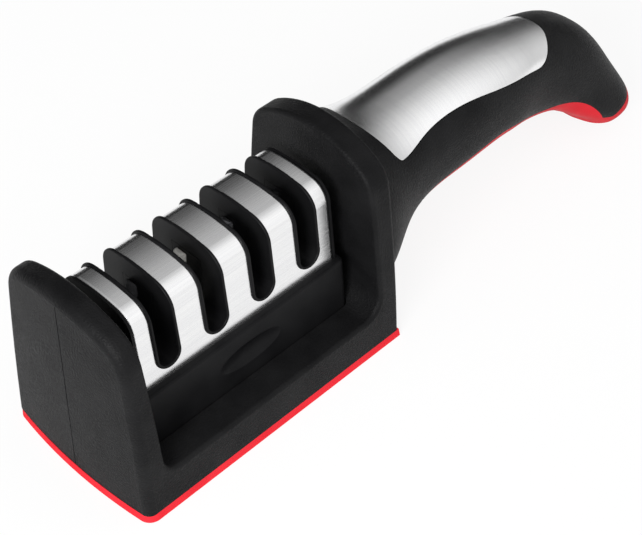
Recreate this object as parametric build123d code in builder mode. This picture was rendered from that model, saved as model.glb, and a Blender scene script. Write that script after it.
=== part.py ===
from build123d import *
from math import atan2, copysign, cos, degrees, pi, radians, sin
import os

os.makedirs("parts", exist_ok=True)

# Pull-through knife sharpener, millimetres. X runs from the front end wall towards the handle,
# Y across the sharpener, Z up. The origin is the middle of the base's footprint, on the table.

# The moulded frame: a U of floor, front wall and rear wall, drafted so that it narrows upwards
base_width = 54.0
base_corner = 3.6
base_rear_corner = 3.6
front_bow = 2.2
side_lean_share = 0.103
face_lean_share = 0.0535
rear_lean_share = 0.02
side_bow = 0.9
floor_height = 13.0
front_wall = 7.9
front_apex = 60.9
front_shoulder = 55.7
front_corner = 10.5
rear_wall = 6.6
rear_apex = 63.7
rear_shoulder = 56.2
rear_corner = 9.5
front_cove = 4.5
rear_cove = 6.0
inner_round = 1.2
front_round = 2.6
rear_round = 1.4
end_space = 5.35
mould_line_width = 0.25
mould_line_depth = 0.15

# The non-slip pad and the plate that closes the frame from below
pad_thickness = 2.5
tread_width = 2.0
tread_depth = 0.7
tread_pitch = 7.5
tread_margin = 8.0
tread_end = 4.0
plate_thickness = 2.0
rim = 2.4
rim_step = 1.2
frame_hollow_top = 8.4
core_gap = 2.0
core_wall = 2.5
core_side = 6.0
core_top = 40.0
boss_diameter = 7.0
boss_inset = 9.0
plate_screw_length = 7.0

# The handle: ribs across a spine that runs back from the rear wall and turns down at its end
handle_reach = 120.7
handle_top = 60.5
grip_width = 32.0
rib_exponent = 2.4
handle_skin = 2.8
pommel_draw = 1.3
pommel_step = 2.3
steel_inlay = 0.8
inlay_gap = 0.2
inlay_seat_gap = 0.05
stud_diameter = 3.0
stud_drop = 5.0
washer_diameter = 8.0
washer_thickness = 0.6

# The cartridge that stands between the two walls
skirt_end_step = 2.2
cartridge_shift = 0.4
ledge_step = 2.8
skirt_lean_share = 0.047
skirt_wall = 2.2
skirt_end_round = 1.8
ledge_height = 29.0
ledge_round = 0.8
ledge_thickness = 2.4
pocket_depth = 1.5
seat_clearance = 0.3
recess_length = 20.8
recess_height = 7.2
recess_middle = 21.1
recess_depth = 1.3

# The steel cover, bent from sheet over the cartridge
cover_length = 65.0
cover_width = 27.9
cover_lean_share = 0.073
cover_apex = 54.5
cover_shoulder = 52.95
cover_corner = 5.9
sheet = 0.6
cover_end_round = 0.9
cover_end_flange = 2.0
end_cap = 0.6
cap_proud = 0.1

# The four knife slots
slot_count = 4
slot_end = 4.6
slot_width = 8.1
slot_floor = 32.1
slot_lip = 1.0
lip_proud = 0.6
lip_round = 0.35

# The sharpening elements, each crossed pair held in a block of its own
holder_gap = 3.7
holder_width = 10.6
holder_floor = 28.0
holder_top = 49.0
cartridge_plate = 2.0
post_length = 9.0
post_width = 8.0
cartridge_boss = 6.0
cartridge_boss_inset = 5.2
cartridge_screw_length = 9.0
rod_diameter = 3.8
rod_length = 19.0
scissor_length = 17.0
rod_side_step = 2.1
rod_chamfer = 0.4
element_middle = 38.5
rod_tilt = 20.0
scissor_tilt = 27.0
scissor_middle = 40.0
blade_length = 19.5
blade_width = 5.0
blade_thickness = 1.6
blade_side_step = 0.9
blade_chamfer = 0.5

# Common fits
fit_gap = 0.1
overrun = 5.0
screw_diameter = 2.6
screw_head = 5.0
screw_head_height = 1.3
driver_width = 0.9
driver_length = 3.2
driver_depth = 0.8

# Places and sizes worked out from the sizes above
base_length = front_wall + rear_wall + cover_length + 2 * end_space
cartridge_length = cover_length + 2 * skirt_end_step
skirt_width = cover_width + 2 * ledge_step
slot_pitch = (cover_length - 2 * slot_end - slot_width) / (slot_count - 1)
holder_length = slot_pitch - holder_gap
base_front = -base_length / 2
base_rear = base_length / 2
wall_front = base_front + front_wall
wall_rear = base_rear - rear_wall
pocket_floor = floor_height - pocket_depth
slot_middle = slot_floor + slot_width / 2
slot_opening = slot_width - 2 * slot_lip
slot_places = [cartridge_shift + (i - (slot_count - 1) / 2) * slot_pitch for i in range(slot_count)]
cartridge_front = cartridge_shift - cartridge_length / 2
cover_front = cartridge_shift - cover_length / 2
tall = rear_apex + overrun


def half_frame(height):
    """Half of the frame's width at a height."""
    return base_width / 2 - side_lean_share * height


def half_skirt(height):
    """Half of the cartridge skirt's width at a height."""
    return skirt_width / 2 - skirt_lean_share * (height - floor_height)


def plan_outline(inset):
    """The footprint with its bowed front, drawn in by an amount."""
    front, rear, half = base_front + inset, base_rear - inset, base_width / 2 - inset
    with BuildSketch() as plan:
        with BuildLine():
            ThreePointArc((front, half), (front - front_bow, 0), (front, -half))
            Polyline((front, -half), (rear, -half), (rear, half), (front, half))
        make_face()
        corners = plan.vertices().sort_by(Axis.X)
        fillet(corners[:2], base_corner - inset / 2)
        fillet(corners[2:], base_rear_corner - inset / 2)
    return plan.sketch


def frame_outline(height):
    """The frame's cross-section up to a height: its sides lean in and bow out a little."""
    foot, top, middle = half_frame(pad_thickness), half_frame(tall), (pad_thickness + tall) / 2
    bulge = half_frame(middle) + side_bow
    with BuildSketch() as outline:
        with BuildLine():
            Line((-foot, pad_thickness), (foot, pad_thickness))
            ThreePointArc((foot, pad_thickness), (bulge, middle), (top, tall))
            Line((top, tall), (-top, tall))
            ThreePointArc((-top, tall), (-bulge, middle), (-foot, pad_thickness))
        make_face()
        Rectangle(base_width + 2 * overrun, 2 * height, mode=Mode.INTERSECT)
    return outline.sketch


def wall_outline(apex, shoulder, corner):
    """An end wall's outline: the frame's sides, rounded shoulders and a crowned top."""
    rise = apex - shoulder
    radius = (half_frame(shoulder) ** 2 + rise ** 2) / (2 * rise)
    with BuildSketch() as wall:
        add(frame_outline(tall))
        with Locations((0, apex - radius)):
            Circle(radius, mode=Mode.INTERSECT)
        fillet(wall.vertices().group_by(Axis.Y)[-1], corner)
    return wall.sketch


def hood_outline(inset):
    """The cover's cross-section, drawn in by an amount, down to the ledge."""
    foot = cover_width / 2 - inset
    top = foot - cover_lean_share * (cover_shoulder - ledge_height)
    shoulder = cover_shoulder - inset
    with BuildSketch() as hood:
        with BuildLine():
            Polyline((-top, shoulder), (-foot, ledge_height), (foot, ledge_height), (top, shoulder))
            ThreePointArc((top, shoulder), (0, cover_apex - inset), (-top, shoulder))
        make_face()
        fillet(hood.vertices().group_by(Axis.Y)[-1], cover_corner - inset)
    return hood.sketch


def slot_outlines(width):
    """The four U-shaped slots seen from the side, on one centre whatever their width."""
    with BuildSketch() as slots:
        with Locations(*[(x, slot_middle) for x in slot_places]):
            Circle(width / 2)
            Rectangle(width, tall - slot_middle, align=(Align.CENTER, Align.MIN))
    return slots.sketch


def screws(length, places, height):
    """Countersunk screws driven upwards, their heads level with a height."""
    with BuildPart() as one:
        with BuildSketch(Plane.XZ):
            with BuildLine():
                Polyline((0, 0), (screw_head / 2, 0), (screw_diameter / 2, screw_head_height),
                         (screw_diameter / 2, length - screw_diameter / 2), (0, length), (0, 0))
            make_face()
        revolve(axis=Axis.Z)
        with BuildSketch(Plane.XY):
            Rectangle(driver_length, driver_width)
            Rectangle(driver_width, driver_length)
        extrude(amount=driver_depth, mode=Mode.SUBTRACT)
    return [one.part.moved(Location((x, y, height))) for x, y in places]


def screw_holes(places, height, depth):
    """Countersunk holes for those screws, open at a height and running upwards."""
    slope = degrees(atan2(screw_head / 2 - screw_diameter / 2, screw_head_height))
    with Locations(*[Location((x, y, height), (180, 0, 0)) for x, y in places]):
        CounterSinkHole(screw_diameter / 2 + fit_gap, screw_head / 2 + fit_gap, depth, 2 * slope)


# The handle's form

# Each rib: back along the reach, and height, for its top and its bottom, then its half width.
# The first three are shares of the reach and of the handle's top, the last of the grip's width.
rib_shares = [
    ((-0.010, 1.020), (-0.010, 0.105), 0.735),
    ((0.081, 0.920), (0.070, 0.205), 0.640),
    ((0.186, 0.892), (0.166, 0.350), 0.530),
    ((0.320, 0.900), (0.306, 0.385), 0.508),
    ((0.454, 0.891), (0.428, 0.389), 0.490),
    ((0.577, 0.851), (0.518, 0.370), 0.457),
    ((0.719, 0.784), (0.603, 0.336), 0.417),
    ((0.861, 0.618), (0.702, 0.284), 0.450),
    ((0.953, 0.352), (0.769, 0.204), 0.510),
    ((1.002, 0.148), (0.833, 0.105), 0.530),
]
rib_points = 10

# The line between the black grip and the red underside, from the front to the pommel's corner
seam_shares = [(0.125, 0.200), (0.158, 0.400), (0.190, 0.480), (0.260, 0.510), (0.380, 0.528),
               (0.460, 0.525), (0.550, 0.468), (0.640, 0.410), (0.735, 0.370), (0.790, 0.309),
               (0.826, 0.236), (0.853, 0.157)]
pommel_seam_share = 0.147
pommel_seam_from_share = 0.880
pommel_seam_rise_share = 0.9
cavity_share = 0.835

# Half of the steel inlay's outline from above: back along the reach, and across by the grip's width
inlay_side_shares = [(0.093, 0.488), (0.145, 0.450), (0.190, 0.411), (0.257, 0.385), (0.430, 0.420),
                     (0.517, 0.417), (0.590, 0.392), (0.640, 0.345), (0.674, 0.220), (0.690, 0.000)]
inlay_nose_share = 0.067
inlay_tip_round = 2.2
inlay_from_share = 0.600
stud_shares = [0.200, 0.390, 0.580]


def along(share):
    """A place back along the handle's reach."""
    return base_rear + handle_reach * share


def rib(shares, inset, push):
    """One rib as a rounded oval, drawn in all round and pushed on along the spine."""
    top_share, bottom_share, half_share = shares
    top = Vector(along(top_share[0]), 0, handle_top * top_share[1])
    bottom = Vector(along(bottom_share[0]), 0, handle_top * bottom_share[1])
    up = (top - bottom).normalized()
    tall_half = (top - bottom).length / 2 - inset
    wide_half = grip_width * half_share - inset
    power = 2 / rib_exponent
    side = []
    for i in range(rib_points + 1):
        turn = pi * i / rib_points
        side.append((abs(sin(turn)) ** power * wide_half, copysign(abs(cos(turn)) ** power, cos(turn)) * tall_half))
    other = [(-across, height) for across, height in side]
    spine = Vector(up.Z, 0, -up.X)
    with BuildSketch(Plane(origin=(top + bottom) / 2 + spine * push, x_dir=(0, 1, 0), z_dir=spine)) as oval:
        with BuildLine():
            Spline(*side, tangents=[(1, 0), (-1, 0)])
            Spline(*other, tangents=[(-1, 0), (1, 0)])
        make_face()
    return oval.sketch


def handle_form(inset):
    """A loft through the ribs, drawn in by an amount all round, with the pommel's end turned in."""
    with BuildPart() as form:
        loft([rib(shares, inset, 0) for shares in rib_shares]
             + [rib(rib_shares[-1], inset + pommel_draw, pommel_step)])
    return form.part


def inlay_outline(grow):
    """The steel inlay from above: a bowed front edge, two lobes, waisted sides and a rounded end."""
    side = [(along(x), grip_width * y + grow) for x, y in inlay_side_shares]
    side[0] = (side[0][0] - grow, side[0][1])
    side[-1] = (side[-1][0] + grow, 0)
    other = [(x, -y) for x, y in side]
    with BuildSketch() as inlay:
        with BuildLine():
            for points, turn in ((side, -1), (other, 1)):
                free = Spline(*points, mode=Mode.PRIVATE)
                Spline(*points, tangents=[free % 0, (0, turn)])
            ThreePointArc(side[0], (along(inlay_nose_share) - grow, 0), other[0])
        make_face()
        fillet(inlay.vertices().sort_by(Axis.X)[:2], inlay_tip_round)
    return inlay.sketch


def stud_circles(diameter):
    """The inlay's studs from above."""
    with BuildSketch() as studs:
        with Locations(*[(along(x), 0) for x in stud_shares]):
            Circle(diameter / 2)
    return studs.sketch


inlay_from = handle_top * inlay_from_share
pommel_seam = handle_top * pommel_seam_share
pommel_seam_end = pommel_seam + handle_reach * (1 - pommel_seam_from_share) * pommel_seam_rise_share / 2
inlay_under = handle_form(steel_inlay)
inlay_seat = handle_form(steel_inlay + inlay_seat_gap)

handle_outside = handle_form(0)

with BuildPart() as handle_cavity:
    with BuildSketch(Plane.XZ):
        with Locations((base_rear, pommel_seam)):
            Rectangle(handle_reach * cavity_share, tall, align=(Align.MIN, Align.MIN))
    extrude(amount=grip_width, both=True)
    add(handle_form(handle_skin), mode=Mode.INTERSECT)

# Everything below the seam, seen from the side and drawn across the handle
with BuildPart() as seam_zone:
    with BuildSketch(Plane.XZ):
        with BuildLine():
            seam = Spline(*[(along(x), handle_top * z) for x, z in seam_shares])
            Polyline(seam @ 1, (along(pommel_seam_from_share), pommel_seam), (along(1), pommel_seam_end),
                     (along(1) + overrun, pommel_seam_end), (along(1) + overrun, -overrun),
                     (along(seam_shares[0][0]), -overrun), seam @ 0)
        make_face()
    extrude(amount=grip_width, both=True)

with BuildPart() as inlay_recess:
    with BuildSketch(Plane.XY.offset(inlay_from)):
        add(inlay_outline(inlay_gap))
    extrude(amount=tall)
    add(inlay_seat, mode=Mode.SUBTRACT)
    with BuildSketch(Plane.XY.offset(inlay_from)):
        add(stud_circles(stud_diameter + 2 * fit_gap))
    extrude(amount=tall)

# Frame: the black moulding, with its end walls, shelf, cartridge pocket and hollow handle
plate_places = [(x, y) for x in (wall_front + boss_inset / 2, wall_rear - boss_inset / 2)
                for y in (-half_frame(0) + boss_inset, half_frame(0) - boss_inset)]
pad_proud = base_width / 2 - half_frame(pad_thickness)
plate_top = pad_thickness + plate_thickness
rear_spare = rear_lean_share * tall
core_width = 2 * half_frame(core_top) - 2 * core_side

with BuildPart() as frame:
    with BuildSketch(Plane.YZ.offset(base_front - front_bow)):
        add(frame_outline(floor_height))
    extrude(amount=front_bow + base_length + rear_spare)
    with BuildSketch(Plane.YZ.offset(base_front - front_bow)):
        add(wall_outline(front_apex, front_shoulder, front_corner))
    extrude(amount=front_bow + front_wall)
    with BuildSketch(Plane.YZ.offset(wall_rear)):
        add(wall_outline(rear_apex, rear_shoulder, rear_corner))
    extrude(amount=rear_wall + rear_spare)
    # The bowed front face leans back from the table up, and the rear face leans out
    with BuildSketch(Plane.XY):
        face_x, half = base_front + pad_proud, base_width / 2 + side_bow
        with BuildLine():
            ThreePointArc((face_x, half), (face_x - front_bow, 0), (face_x, -half))
            Polyline((face_x, -half), (base_rear + overrun, -half), (base_rear + overrun, half), (face_x, half))
        make_face()
    extrude(amount=tall, dir=(face_lean_share, 0, 1), mode=Mode.INTERSECT)
    with BuildSketch(Plane.XY):
        with Locations((base_rear - pad_proud, 0)):
            Rectangle(base_length + overrun, base_width + overrun, align=(Align.MAX, Align.CENTER))
    extrude(amount=tall, dir=(rear_lean_share, 0, 1), mode=Mode.INTERSECT)
    # Coves where the walls rise from the shelf, then the edges all round
    shelf_ends = frame.edges().filter_by(Axis.Y).filter_by_position(Axis.Z, floor_height, floor_height)
    fillet(shelf_ends.sort_by(Axis.X)[0], front_cove)
    shelf_ends = frame.edges().filter_by(Axis.Y).filter_by_position(Axis.Z, floor_height, floor_height)
    fillet(shelf_ends.sort_by(Axis.X)[-1], rear_cove)
    inside = frame.edges().filter_by_position(Axis.X, wall_front - fit_gap, wall_rear + fit_gap)
    fillet(inside.filter_by_position(Axis.Z, floor_height - fit_gap, tall) - frame.edges().filter_by(Axis.Y),
           inner_round)
    face_edges = frame.faces().sort_by(Axis.X)[0].edges()
    fillet(face_edges.sort_by(Axis.Z)[1:], front_round)
    face_edges = frame.faces().sort_by(Axis.X)[-1].edges()
    fillet(face_edges.sort_by(Axis.Z)[1:], rear_round)
    # The pocket that the cartridge stands in
    with BuildSketch(Plane.XY.offset(pocket_floor)):
        with Locations((cartridge_shift, 0)):
            RectangleRounded(cartridge_length + 2 * seat_clearance, 2 * half_skirt(pocket_floor) + 2 * seat_clearance,
                             skirt_end_round + seat_clearance)
    extrude(amount=floor_height + rear_cove - pocket_floor, mode=Mode.SUBTRACT)
    # Rebate and hollow from below, with screw bosses, and a core slot up inside each wall
    with BuildSketch(Plane.XY.offset(pad_thickness)):
        add(plan_outline(rim))
    extrude(amount=plate_thickness, mode=Mode.SUBTRACT)
    with BuildSketch(Plane.XY.offset(plate_top)):
        add(plan_outline(rim + rim_step))
        with Locations(*plate_places):
            Circle(boss_diameter / 2, mode=Mode.SUBTRACT)
    extrude(amount=frame_hollow_top - plate_top, mode=Mode.SUBTRACT)
    with BuildSketch(Plane.XY.offset(plate_top)):
        with Locations((wall_front - core_wall - core_gap / 2, 0), (wall_rear + core_wall + core_gap / 2, 0)):
            Rectangle(core_gap, core_width)
    extrude(amount=core_top - plate_top, mode=Mode.SUBTRACT)
    with Locations(*[Location((x, y, plate_top), (180, 0, 0)) for x, y in plate_places]):
        Hole(screw_diameter / 2 + fit_gap, pad_thickness + plate_screw_length - plate_top + fit_gap)
    # The mould line up the middle of the front face
    with BuildSketch(Plane.XY):
        with Locations((base_front + pad_proud - front_bow, 0)):
            Rectangle(2 * mould_line_depth, mould_line_width)
    extrude(amount=front_apex - front_round, dir=(face_lean_share, 0, 1), mode=Mode.SUBTRACT)
    # The handle, hollow, without its underside and with the inlay's bed sunk into it
    add(handle_outside)
    add(seam_zone.part, mode=Mode.SUBTRACT)
    add(handle_cavity.part, mode=Mode.SUBTRACT)
    add(inlay_recess.part, mode=Mode.SUBTRACT)

# Grip underside: the coloured shell that closes the handle from below and wraps under the pommel
with BuildPart() as grip_underside:
    add(handle_outside)
    add(seam_zone.part, mode=Mode.INTERSECT)
    add(handle_cavity.part, mode=Mode.SUBTRACT)

# Handle plate: thin steel over the grip, with three studs through the moulding
with BuildPart() as handle_plate:
    with BuildSketch(Plane.XY.offset(inlay_from)):
        add(inlay_outline(0))
    extrude(amount=tall)
    add(handle_outside, mode=Mode.INTERSECT)
    add(inlay_under, mode=Mode.SUBTRACT)

with BuildPart() as studs:
    with BuildSketch(Plane.XY.offset(inlay_from)):
        add(stud_circles(stud_diameter))
    extrude(amount=tall)
    add(handle_form(steel_inlay / 2), mode=Mode.INTERSECT)
    add(handle_form(steel_inlay + stud_drop), mode=Mode.SUBTRACT)

with BuildPart() as handle_plate_studded:
    add(handle_plate.part)
    add(studs.part)

# Inlay washers: push-on rings that grip the studs inside the hollow handle
with BuildPart() as inlay_washers:
    with BuildSketch(Plane.XY.offset(inlay_from)):
        add(stud_circles(washer_diameter))
        add(stud_circles(stud_diameter), mode=Mode.SUBTRACT)
    extrude(amount=tall)
    add(handle_form(handle_skin), mode=Mode.INTERSECT)
    add(handle_form(handle_skin + washer_thickness), mode=Mode.SUBTRACT)

# Base pad: soft sheet under the whole footprint, with shallow treads across it
tread_run = base_length - 2 * tread_margin
tread_count = int(tread_run / tread_pitch) + 1

with BuildPart() as base_pad:
    with BuildSketch(Plane.XY):
        add(plan_outline(0))
    extrude(amount=pad_thickness, taper=degrees(atan2(side_lean_share, 1)))
    with BuildSketch(Plane.XY):
        with GridLocations(tread_pitch, 0, tread_count, 1):
            Rectangle(tread_width, base_width - 2 * tread_end)
    extrude(amount=tread_depth, mode=Mode.SUBTRACT)

# Base plate: closes the frame's hollow, screwed up into the four bosses
with BuildPart() as base_plate:
    with BuildSketch(Plane.XY.offset(pad_thickness)):
        add(plan_outline(rim + fit_gap))
    extrude(amount=plate_thickness)
    screw_holes(plate_places, pad_thickness, plate_thickness)

base_screws = Compound(children=screws(plate_screw_length, plate_places, pad_thickness))


def hood_block(inset):
    """The space under the cover, drawn in by an amount, its end edges rounded."""
    with BuildPart() as block:
        with BuildSketch(Plane.YZ.offset(cover_front + inset)):
            add(hood_outline(inset))
        extrude(amount=cover_length - 2 * inset)
        ends = block.edges().filter_by(Plane.YZ)
        fillet(ends - ends.filter_by_position(Axis.Z, ledge_height, ledge_height), cover_end_round - inset)
    return block.part


# Cartridge cover: sheet steel bent over the cartridge, its ends turned in, with the slots cut through
with BuildPart() as cartridge_cover:
    add(hood_block(0))
    add(hood_block(sheet), mode=Mode.SUBTRACT)
    with BuildSketch(Plane.YZ.offset(cover_front)):
        add(hood_outline(cover_end_flange))
    extrude(amount=cover_length, mode=Mode.SUBTRACT)
    with BuildSketch(Plane.XZ):
        add(slot_outlines(slot_width))
    extrude(amount=cover_width, both=True, mode=Mode.SUBTRACT)

# Cartridge end caps: thin plates that fill the cover's open ends
cap_grip = cover_end_flange + fit_gap


def end_plate(face_x, into):
    """One end cap: a plate against the cover's end and a spigot that fills its opening."""
    with BuildPart() as plate:
        with BuildSketch(Plane.YZ.offset(face_x)):
            add(hood_outline(-cap_proud))
        extrude(amount=-into * end_cap)
        with BuildSketch(Plane.YZ.offset(face_x)):
            add(hood_outline(cap_grip))
        extrude(amount=into * (sheet + fit_gap))
    return plate.part


end_cap_front = end_plate(cover_front, 1)
end_cap_rear = end_plate(cover_front + cover_length, -1)

# The cartridge's inside, from which its black pieces and the wells of the four holders take their places
inner_half = half_skirt(ledge_height) - skirt_wall
inner_length = cartridge_length - 2 * skirt_wall
plate_roof = pocket_floor + cartridge_plate
boss_x = inner_length / 2 - cartridge_boss_inset
boss_y = inner_half - cartridge_boss_inset
cartridge_places = [(cartridge_shift + x, y) for x in (-boss_x, boss_x) for y in (-boss_y, boss_y)]

with BuildPart() as holder_wells:
    with BuildSketch(Plane.XY.offset(plate_roof)):
        with Locations(*[(x, 0) for x in slot_places]):
            Rectangle(holder_length + 2 * fit_gap, holder_width + 2 * fit_gap)
    extrude(amount=holder_top + fit_gap - plate_roof)

# Slot block: the black block under the cover, with the four slots cut across it
with BuildPart() as slot_block:
    add(hood_block(sheet + fit_gap))
    with BuildSketch(Plane.XZ):
        add(slot_outlines(slot_width))
    extrude(amount=skirt_width, both=True, mode=Mode.SUBTRACT)
    add(holder_wells.part, mode=Mode.SUBTRACT)

# Slot liners: thin black U-shaped rims that line the slots and stand proud of the cover
with BuildPart() as slot_liners:
    with BuildSketch(Plane.XZ):
        add(slot_outlines(slot_width - 2 * fit_gap))
    extrude(amount=cover_width, both=True)
    with BuildSketch(Plane.YZ.offset(cover_front)):
        add(hood_outline(-lip_proud))
    extrude(amount=cover_length, mode=Mode.INTERSECT)
    with BuildSketch(Plane.XZ):
        add(slot_outlines(slot_opening))
    extrude(amount=cover_width, both=True, mode=Mode.SUBTRACT)
    rims = slot_liners.edges() - slot_liners.edges().filter_by(Axis.X) - slot_liners.edges().filter_by(Axis.Y)
    fillet(rims, lip_round)
    add(holder_wells.part, mode=Mode.SUBTRACT)


# The finger recess: a scoop hollowed by a disc that is round in both directions
scoop_across = (recess_height ** 2 / 4 + recess_depth ** 2) / (2 * recess_depth)
scoop_along = (recess_length ** 2 / 4 + recess_depth ** 2) / (2 * recess_depth)
scoop_floor = recess_depth - half_skirt(recess_middle)

with BuildPart() as finger_recess:
    with BuildSketch(Plane.YZ.offset(cartridge_shift)):
        with Locations((scoop_floor - scoop_across, recess_middle)):
            Circle(scoop_across)
    revolve(axis=Axis((cartridge_shift, scoop_floor - scoop_along, 0), (0, 0, 1)))

# Cartridge body: the black skirt that carries the slot block on its ledge, hollow from below
with BuildPart() as cartridge_body:
    with BuildSketch(Plane.YZ.offset(cartridge_front)):
        foot, top = half_skirt(pocket_floor), half_skirt(ledge_height)
        with BuildLine():
            Polyline((-foot, pocket_floor), (foot, pocket_floor), (top, ledge_height), (-top, ledge_height),
                     close=True)
        make_face()
    extrude(amount=cartridge_length)
    rims = cartridge_body.edges().filter_by_position(Axis.Z, pocket_floor + fit_gap, ledge_height - fit_gap)
    fillet(rims, skirt_end_round)
    fillet(cartridge_body.faces().sort_by(Axis.Z)[-1].edges(), ledge_round)
    # Hollow from below, with screw bosses, and a well for each holder
    with BuildSketch(Plane.XY.offset(pocket_floor)):
        with Locations((cartridge_shift, 0)):
            Rectangle(inner_length, 2 * inner_half)
    extrude(amount=plate_roof - pocket_floor, mode=Mode.SUBTRACT)
    with BuildSketch(Plane.XY.offset(plate_roof)):
        with Locations((cartridge_shift, 0)):
            Rectangle(inner_length, 2 * inner_half)
        with Locations(*cartridge_places):
            Circle(cartridge_boss / 2, mode=Mode.SUBTRACT)
    extrude(amount=ledge_height - ledge_thickness - plate_roof, mode=Mode.SUBTRACT)
    add(holder_wells.part, mode=Mode.SUBTRACT)
    with Locations(*[Location((x, y, plate_roof), (180, 0, 0)) for x, y in cartridge_places]):
        Hole(screw_diameter / 2 + fit_gap, pocket_floor + cartridge_screw_length - plate_roof + fit_gap)
    # Finger recesses on both sides
    add(finger_recess.part, mode=Mode.SUBTRACT)
    add(mirror(finger_recess.part, about=Plane.XZ, mode=Mode.PRIVATE), mode=Mode.SUBTRACT)

# Cartridge base: the plate that closes the cartridge, with a post under each holder
with BuildPart() as cartridge_base:
    with BuildSketch(Plane.XY.offset(pocket_floor)):
        with Locations((cartridge_shift, 0)):
            Rectangle(inner_length - 2 * fit_gap, 2 * inner_half - 2 * fit_gap)
    extrude(amount=cartridge_plate)
    with BuildSketch(Plane.XY.offset(plate_roof)):
        with Locations(*[(x, 0) for x in slot_places]):
            Rectangle(post_length, post_width)
    extrude(amount=holder_floor - plate_roof)
    screw_holes(cartridge_places, pocket_floor, cartridge_plate)

cartridge_screws = Compound(children=screws(cartridge_screw_length, cartridge_places, pocket_floor))

# The sharpening elements: in each slot one leans towards the handle and the other away from it


def leaning(place, middle, step, tilt):
    """The plane square to an element, at its middle."""
    lean = radians(tilt)
    return Plane(origin=(place, step, middle), x_dir=(cos(lean), 0, -sin(lean)), z_dir=(sin(lean), 0, cos(lean)))


def rod(place, middle, step, tilt, length, grow):
    """One round rod, or its bore when grown."""
    with BuildPart() as bar:
        with BuildSketch(leaning(place, middle, step, tilt)):
            Circle(rod_diameter / 2 + grow)
        extrude(amount=length / 2, both=True)
        if not grow:
            chamfer(bar.edges(), rod_chamfer)
    return bar.part


def blade(place, middle, step, tilt, length, grow):
    """One flat blade with a bevelled edge, or its seat when grown."""
    with BuildPart() as bar:
        with BuildSketch(leaning(place, middle, step, tilt)):
            Rectangle(blade_width + 2 * grow, blade_thickness + 2 * grow)
        extrude(amount=length / 2, both=True)
        if not grow:
            chamfer(bar.edges().filter_by(Axis((0, 0, 0), leaning(place, middle, step, tilt).z_dir))
                    .group_by(Axis.Y)[0], blade_chamfer)
    return bar.part


def holder(place, middle, step, tilt, length, shape):
    """The block that holds one crossed pair, with the slot cut through it."""
    with BuildPart() as block:
        with BuildSketch(Plane.XY.offset(holder_floor)):
            with Locations((place, 0)):
                Rectangle(holder_length, holder_width)
        extrude(amount=holder_top - holder_floor)
        with BuildSketch(Plane.XZ):
            with Locations((place, slot_middle)):
                Circle(slot_opening / 2)
                Rectangle(slot_opening, tall - slot_middle, align=(Align.CENTER, Align.MIN))
        extrude(amount=holder_width, both=True, mode=Mode.SUBTRACT)
        for side in (1, -1):
            add(shape(place, middle, side * step, side * tilt, length, fit_gap), mode=Mode.SUBTRACT)
    return block.part


stages = {
    "scissor": (slot_places[0], scissor_middle, rod_side_step, scissor_tilt, scissor_length, rod, "rod"),
    "ceramic": (slot_places[1], element_middle, rod_side_step, rod_tilt, rod_length, rod, "rod"),
    "diamond": (slot_places[2], element_middle, rod_side_step, rod_tilt, rod_length, rod, "rod"),
    "carbide": (slot_places[3], element_middle, blade_side_step, rod_tilt, blade_length, blade, "blade"),
}
elements = {}
for stage, (place, middle, step, tilt, length, shape, word) in stages.items():
    elements[stage + "_holder"] = holder(place, middle, step, tilt, length, shape)
    elements[stage + "_" + word + "_left"] = shape(place, middle, step, tilt, length, 0)
    elements[stage + "_" + word + "_right"] = shape(place, middle, -step, -tilt, length, 0)

pieces = {
    "frame": frame.part,
    "grip_underside": grip_underside.part,
    "handle_plate": handle_plate_studded.part,
    "inlay_washers": inlay_washers.part,
    "base_pad": base_pad.part,
    "base_plate": base_plate.part,
    "base_screws": base_screws,
    "cartridge_body": cartridge_body.part,
    "slot_block": slot_block.part,
    "slot_liners": slot_liners.part,
    "cartridge_cover": cartridge_cover.part,
    "end_cap_front": end_cap_front,
    "end_cap_rear": end_cap_rear,
    "cartridge_base": cartridge_base.part,
    "cartridge_screws": cartridge_screws,
    **elements,
}
for label, piece in pieces.items():
    piece.label = label
    export_step(piece, "parts/" + label + ".step")
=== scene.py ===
import bpy
from math import cos, radians, sin
from mathutils import Matrix, Vector

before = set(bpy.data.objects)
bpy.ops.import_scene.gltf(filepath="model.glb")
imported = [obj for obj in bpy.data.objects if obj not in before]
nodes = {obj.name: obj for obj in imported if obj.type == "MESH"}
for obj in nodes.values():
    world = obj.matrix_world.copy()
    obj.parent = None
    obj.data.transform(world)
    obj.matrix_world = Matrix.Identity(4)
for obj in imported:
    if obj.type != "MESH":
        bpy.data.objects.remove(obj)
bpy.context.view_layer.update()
MM = 0.001

# Moulded frame: one black nylon moulding makes the floor, both end walls and the hollow grip.
# It comes out of a spark-eroded mould, so it has a fine even grain that holds a soft sheen.
GRAIN_SIZE = 0.5 * MM
GRAIN_DEPTH = 0.22 * MM
CLOUD_SIZE = 9 * MM
CLOUD_DETAIL = 2.0
GRAIN_DETAIL = 3.0
EVEN = (1, 1, 1)
BLEND_LOW = 0.3
BLEND_HIGH = 0.7
NYLON_BLACK = (0.0050, 0.0050, 0.0054, 1)
NYLON_WORN = (0.0095, 0.0095, 0.0100, 1)
NYLON_ROUGH = (0.36, 0.56)
DULL_SHINE = 0.08


def start_material(name):
    """An empty node material with its surface shader and the object's own coordinates."""
    material = bpy.data.materials.new(name)
    material.use_nodes = True
    tree = material.node_tree
    tree.nodes.clear()
    out = tree.nodes.new("ShaderNodeOutputMaterial")
    surface = tree.nodes.new("ShaderNodeBsdfPrincipled")
    place = tree.nodes.new("ShaderNodeTexCoord")
    tree.links.new(surface.outputs["BSDF"], out.inputs["Surface"])
    return material, tree, surface, place.outputs["Object"]


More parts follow.
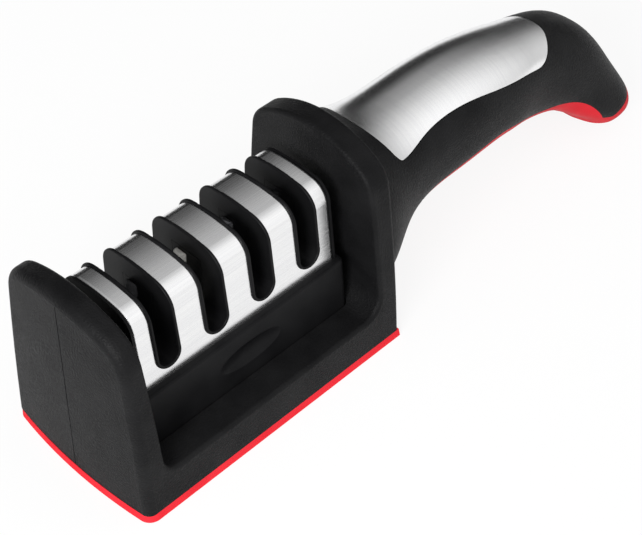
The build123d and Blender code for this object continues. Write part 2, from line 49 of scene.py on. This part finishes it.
def noise(tree, place, size, detail=CLOUD_DETAIL, stretch=EVEN):
    """Noise whose blotches are about one size across, drawn out by a stretch in X, Y and Z."""
    mapping = tree.nodes.new("ShaderNodeMapping")
    mapping.inputs["Scale"].default_value = [1 / (size * s) for s in stretch]
    tree.links.new(place, mapping.inputs["Vector"])
    texture = tree.nodes.new("ShaderNodeTexNoise")
    texture.inputs["Scale"].default_value = 1.0
    texture.inputs["Detail"].default_value = detail
    tree.links.new(mapping.outputs["Vector"], texture.inputs["Vector"])
    return texture.outputs["Fac"]


def blend_range(tree, value, low, high):
    """A value from noise turned into a number between low and high."""
    ramp = tree.nodes.new("ShaderNodeMapRange")
    ramp.inputs["From Min"].default_value = BLEND_LOW
    ramp.inputs["From Max"].default_value = BLEND_HIGH
    ramp.inputs["To Min"].default_value = low
    ramp.inputs["To Max"].default_value = high
    tree.links.new(value, ramp.inputs["Value"])
    return ramp.outputs["Result"]


def blend_colour(tree, value, low, high):
    """A value from noise turned into a colour between two."""
    ramp = tree.nodes.new("ShaderNodeValToRGB")
    ramp.color_ramp.elements[0].position = BLEND_LOW
    ramp.color_ramp.elements[0].color = low
    ramp.color_ramp.elements[1].position = BLEND_HIGH
    ramp.color_ramp.elements[1].color = high
    tree.links.new(value, ramp.inputs["Fac"])
    return ramp.outputs["Color"]


def grain(tree, surface, height, depth):
    """Relief of a real depth on the surface."""
    bump = tree.nodes.new("ShaderNodeBump")
    bump.inputs["Distance"].default_value = depth
    tree.links.new(height, bump.inputs["Height"])
    tree.links.new(bump.outputs["Normal"], surface.inputs["Normal"])


def moulded_plastic(name, dark, light, rough, size, depth, shine=DULL_SHINE):
    """Plastic with mould grain, faint clouding and uneven gloss."""
    material, tree, surface, place = start_material(name)
    surface.inputs["Specular IOR Level"].default_value = shine
    clouds = noise(tree, place, CLOUD_SIZE)
    tree.links.new(blend_colour(tree, clouds, dark, light), surface.inputs["Base Color"])
    fine = noise(tree, place, size, GRAIN_DETAIL)
    tree.links.new(blend_range(tree, fine, *rough), surface.inputs["Roughness"])
    grain(tree, surface, fine, depth)
    return material


def dress(name, material):
    """One finish all over a piece."""
    nodes[name].data.materials.clear()
    nodes[name].data.materials.append(material)


nylon = moulded_plastic("black_nylon", NYLON_BLACK, NYLON_WORN, NYLON_ROUGH, GRAIN_SIZE, GRAIN_DEPTH)
dress("frame", nylon)

# Base pad: soft red rubber sheet under the whole footprint, moulded onto the frame, with treads
# across its underside so that it grips a wet worktop.
RED_SHINE = 0.02
RUBBER_RED = (0.60, 0.020, 0.030, 1)
RUBBER_DUSTY = (0.66, 0.028, 0.040, 1)
RUBBER_ROUGH = (0.55, 0.7)
RUBBER_GRAIN = 0.6 * MM
RUBBER_DEPTH = 0.03 * MM
rubber = moulded_plastic("red_rubber", RUBBER_RED, RUBBER_DUSTY, RUBBER_ROUGH, RUBBER_GRAIN,
                         RUBBER_DEPTH, RED_SHINE)
dress("base_pad", rubber)

# Base plate and its four screws: a smooth black plate hidden between the pad and the frame.
# Its screws, the cartridge's screws and the inlay's washers are zinc plated, with a fine mottle.
SATIN_BLACK = (0.0045, 0.0045, 0.0050, 1)
SATIN_WORN = (0.0080, 0.0080, 0.0085, 1)
SATIN_ROUGH = (0.34, 0.46)
SATIN_GRAIN = 0.3 * MM
SATIN_DEPTH = 0.012 * MM
SCRATCH_DETAIL = 4.0
BAND_WIDTH = 6
ZINC_DARK = (0.46, 0.47, 0.48, 1)
ZINC_LIGHT = (0.60, 0.60, 0.60, 1)
ZINC_ROUGH = (0.3, 0.45)
ZINC_GRAIN = 0.2 * MM
ZINC_DEPTH = 0.01 * MM
satin = moulded_plastic("satin_black", SATIN_BLACK, SATIN_WORN, SATIN_ROUGH, SATIN_GRAIN, SATIN_DEPTH)
dress("base_plate", satin)


def brushed_metal(name, dark, light, rough, size, stretch, depth):
    """Metal with the parallel scratches of a brushing belt, drawn out by a stretch."""
    material, tree, surface, place = start_material(name)
    surface.inputs["Metallic"].default_value = 1.0
    scratches = noise(tree, place, size, SCRATCH_DETAIL, stretch)
    bands = noise(tree, place, size * BAND_WIDTH, CLOUD_DETAIL, stretch)
    tree.links.new(blend_colour(tree, bands, dark, light), surface.inputs["Base Color"])
    tree.links.new(blend_range(tree, scratches, *rough), surface.inputs["Roughness"])
    grain(tree, surface, scratches, depth)
    return material


zinc = brushed_metal("zinc_plate", ZINC_DARK, ZINC_LIGHT, ZINC_ROUGH, ZINC_GRAIN, EVEN, ZINC_DEPTH)
for name in ("base_screws", "cartridge_screws", "inlay_washers"):
    dress(name, zinc)

# Handle plate: thin stainless steel let into the top of the grip. It is brushed across the grip,
# before it is pressed to the curve, and three studs hold it from inside.
BRUSH_WIDTH = 0.09 * MM
ACROSS_DARK = (0.91, 0.91, 0.92, 1)
ACROSS_LIGHT = (0.96, 0.96, 0.96, 1)
ACROSS_ROUGH = (0.20, 0.26)
ACROSS_STRETCH = (1, 120, 30)
ACROSS_DEPTH = 0.0010 * MM
steel_across = brushed_metal("steel_brushed_across", ACROSS_DARK, ACROSS_LIGHT, ACROSS_ROUGH,
                             BRUSH_WIDTH, ACROSS_STRETCH, ACROSS_DEPTH)
dress("handle_plate", steel_across)

# Grip underside: a red plastic shell that closes the hollow grip from below and wraps under the
# pommel, where its rim shows. It has the same kind of grain as the frame, but finer.
PLASTIC_RED = (0.50, 0.018, 0.026, 1)
PLASTIC_LIGHT = (0.56, 0.024, 0.034, 1)
PLASTIC_ROUGH = (0.38, 0.5)
PLASTIC_GRAIN = 0.3 * MM
PLASTIC_DEPTH = 0.015 * MM
red_shell = moulded_plastic("red_plastic", PLASTIC_RED, PLASTIC_LIGHT, PLASTIC_ROUGH, PLASTIC_GRAIN,
                            PLASTIC_DEPTH, RED_SHINE)
dress("grip_underside", red_shell)

# Cartridge mouldings: the skirt, the slot block on its ledge, the liners that line the slots, the
# base plate with its posts and the two end caps, all in black plastic smoother than the frame.
for name in ("cartridge_body", "slot_block", "slot_liners", "cartridge_base",
             "end_cap_front", "end_cap_rear"):
    dress(name, satin)

# Cartridge cover: stainless sheet bent over the slot block, brushed along its length, with the
# slots punched through and its ends turned in.
ALONG_DARK = (0.84, 0.84, 0.85, 1)
ALONG_LIGHT = (0.91, 0.91, 0.91, 1)
ALONG_ROUGH = (0.20, 0.30)
ALONG_STRETCH = (120, 1, 1)
ALONG_DEPTH = 0.0012 * MM
steel_along = brushed_metal("steel_brushed_along", ALONG_DARK, ALONG_LIGHT, ALONG_ROUGH,
                            BRUSH_WIDTH, ALONG_STRETCH, ALONG_DEPTH)
dress("cartridge_cover", steel_along)

# Holders: one black block in each slot, which grips a crossed pair of elements. They are the
# cartridge's smooth black plastic.
for stage in ("scissor", "ceramic", "diamond", "carbide"):
    dress(stage + "_holder", satin)

# Crossed elements: grey coarse ceramic for scissors, white fine ceramic, steel rods coated with
# diamond grit, and ground tungsten carbide blades.
COARSE_DARK = (0.030, 0.030, 0.032, 1)
COARSE_LIGHT = (0.055, 0.055, 0.058, 1)
COARSE_ROUGH = (0.6, 0.8)
COARSE_GRAIN = 0.25 * MM
COARSE_DEPTH = 0.03 * MM
FINE_DARK = (0.55, 0.54, 0.51, 1)
FINE_LIGHT = (0.64, 0.63, 0.60, 1)
FINE_ROUGH = (0.35, 0.5)
FINE_GRAIN = 0.2 * MM
FINE_DEPTH = 0.01 * MM
GRIT_DARK = (0.10, 0.10, 0.11, 1)
GRIT_LIGHT = (0.24, 0.24, 0.25, 1)
GRIT_ROUGH = (0.4, 0.75)
GRIT_GRAIN = 0.16 * MM
GRIT_DEPTH = 0.05 * MM
CARBIDE_DARK = (0.22, 0.22, 0.24, 1)
CARBIDE_LIGHT = (0.36, 0.36, 0.38, 1)
CARBIDE_ROUGH = (0.25, 0.4)
CARBIDE_GRAIN = 0.12 * MM
CARBIDE_STRETCH = (1, 20, 1)
CARBIDE_DEPTH = 0.006 * MM
coarse_ceramic = moulded_plastic("coarse_ceramic", COARSE_DARK, COARSE_LIGHT, COARSE_ROUGH,
                                 COARSE_GRAIN, COARSE_DEPTH)
fine_ceramic = moulded_plastic("fine_ceramic", FINE_DARK, FINE_LIGHT, FINE_ROUGH, FINE_GRAIN,
                               FINE_DEPTH)
diamond_grit = brushed_metal("diamond_grit", GRIT_DARK, GRIT_LIGHT, GRIT_ROUGH, GRIT_GRAIN, EVEN,
                             GRIT_DEPTH)
carbide = brushed_metal("ground_carbide", CARBIDE_DARK, CARBIDE_LIGHT, CARBIDE_ROUGH, CARBIDE_GRAIN,
                        CARBIDE_STRETCH, CARBIDE_DEPTH)
for side in ("left", "right"):
    dress("scissor_rod_" + side, coarse_ceramic)
    dress("ceramic_rod_" + side, fine_ceramic)
    dress("diamond_rod_" + side, diamond_grit)
    dress("carbide_blade_" + side, carbide)

# Floor: a plain pale sweep that the sharpener stands on. It shows nearly white to the camera and
# in the steel, and keeps the soft shadow.
FLOOR_HALF = 3.0
FLOOR_CLEAR = 0.88
FLOOR_GREY = (0.86, 0.86, 0.86, 1)
FLOOR_ROUGH = 0.9
floor_mesh = bpy.data.meshes.new("floor")
floor_mesh.from_pydata([(-FLOOR_HALF, -FLOOR_HALF, 0), (FLOOR_HALF, -FLOOR_HALF, 0),
                        (FLOOR_HALF, FLOOR_HALF, 0), (-FLOOR_HALF, FLOOR_HALF, 0)], [], [(0, 1, 2, 3)])
floor = bpy.data.objects.new("floor", floor_mesh)
bpy.context.scene.collection.objects.link(floor)
floor_finish, tree, surface, _ = start_material("pale_floor")
surface.inputs["Base Color"].default_value = FLOOR_GREY
surface.inputs["Roughness"].default_value = FLOOR_ROUGH
glow = tree.nodes.new("ShaderNodeEmission")
seen = tree.nodes.new("ShaderNodeLightPath")
total = seen.outputs["Is Camera Ray"]
for kind in ("Is Glossy Ray", "Is Transmission Ray"):
    both = tree.nodes.new("ShaderNodeMath")
    both.operation = "ADD"
    both.use_clamp = True
    tree.links.new(total, both.inputs[0])
    tree.links.new(seen.outputs[kind], both.inputs[1])
    total = both.outputs["Value"]
share = tree.nodes.new("ShaderNodeMath")
share.operation = "MULTIPLY"
share.inputs[1].default_value = FLOOR_CLEAR
mix = tree.nodes.new("ShaderNodeMixShader")
out = next(n for n in tree.nodes if n.type == "OUTPUT_MATERIAL")
tree.links.new(total, share.inputs[0])
tree.links.new(share.outputs["Value"], mix.inputs["Fac"])
tree.links.new(surface.outputs["BSDF"], mix.inputs[1])
tree.links.new(glow.outputs["Emission"], mix.inputs[2])
tree.links.new(mix.outputs["Shader"], out.inputs["Surface"])
floor_mesh.materials.append(floor_finish)

# Studio: a room that is bright overhead and towards the near side, and falls off to a dark far
# wall, so that the steel fades from dark to white, and one soft box at the front end.
ROOM_BRIGHT_SIDE = (-0.10, -0.75, 0.65)
ROOM_DARK = 0.02
ROOM_BRIGHT = 1.35
DARK_BELOW = -0.31
BRIGHT_ABOVE = 0.80
world = bpy.data.worlds.new("studio")
bpy.context.scene.world = world
world.use_nodes = True
tree = world.node_tree
tree.nodes.clear()
out = tree.nodes.new("ShaderNodeOutputWorld")
room = tree.nodes.new("ShaderNodeBackground")
place = tree.nodes.new("ShaderNodeTexCoord")
towards = tree.nodes.new("ShaderNodeVectorMath")
towards.operation = "DOT_PRODUCT"
towards.inputs[1].default_value = ROOM_BRIGHT_SIDE
ramp = tree.nodes.new("ShaderNodeMapRange")
ramp.inputs["From Min"].default_value = DARK_BELOW
ramp.inputs["From Max"].default_value = BRIGHT_ABOVE
ramp.inputs["To Min"].default_value = ROOM_DARK
ramp.inputs["To Max"].default_value = ROOM_BRIGHT
tree.links.new(place.outputs["Generated"], towards.inputs[0])
tree.links.new(towards.outputs["Value"], ramp.inputs["Value"])
tree.links.new(ramp.outputs["Result"], room.inputs["Strength"])
tree.links.new(room.outputs["Background"], out.inputs["Surface"])

BOX_SIZE = 0.4
BOX_POWER = 9.0
BOX_PLACE = Vector((-0.75, -0.35, 0.45))
lamp = bpy.data.lights.new("soft_box", "AREA")
lamp.size = BOX_SIZE
lamp.energy = BOX_POWER
soft_box = bpy.data.objects.new("soft_box", lamp)
soft_box.location = BOX_PLACE
soft_box.rotation_euler = (-BOX_PLACE).to_track_quat("-Z", "Y").to_euler()
bpy.context.scene.collection.objects.link(soft_box)
bpy.context.scene.view_settings.view_transform = "Standard"

# Camera: a long lens over the front end's near corner, as the photograph was taken. Its place,
# its angles and its lens were solved from the photograph together with the object's shape.
CAMERA_AZIMUTH = radians(-43.569)
CAMERA_ELEVATION = radians(44.677)
CAMERA_ROLL = radians(-1.763)
CAMERA_PLACE = Vector((-175.1, -227.7, 320.9)) * MM
CAMERA_SENSOR = 36.0
CAMERA_LENS = 88.82
camera_data = bpy.data.cameras.new("camera")
camera_data.sensor_width = CAMERA_SENSOR
camera_data.lens = CAMERA_LENS
back = Vector((sin(CAMERA_AZIMUTH) * cos(CAMERA_ELEVATION),
               -cos(CAMERA_AZIMUTH) * cos(CAMERA_ELEVATION), sin(CAMERA_ELEVATION)))
right = Vector((cos(CAMERA_AZIMUTH), sin(CAMERA_AZIMUTH), 0))
up = back.cross(right)
rolled_right = right * cos(CAMERA_ROLL) + up * sin(CAMERA_ROLL)
rolled_up = back.cross(rolled_right)
camera = bpy.data.objects.new("camera", camera_data)
turn = Matrix((rolled_right, rolled_up, back)).transposed()
camera.matrix_world = Matrix.Translation(CAMERA_PLACE) @ turn.to_4x4()
bpy.context.scene.collection.objects.link(camera)
bpy.context.scene.camera = camera
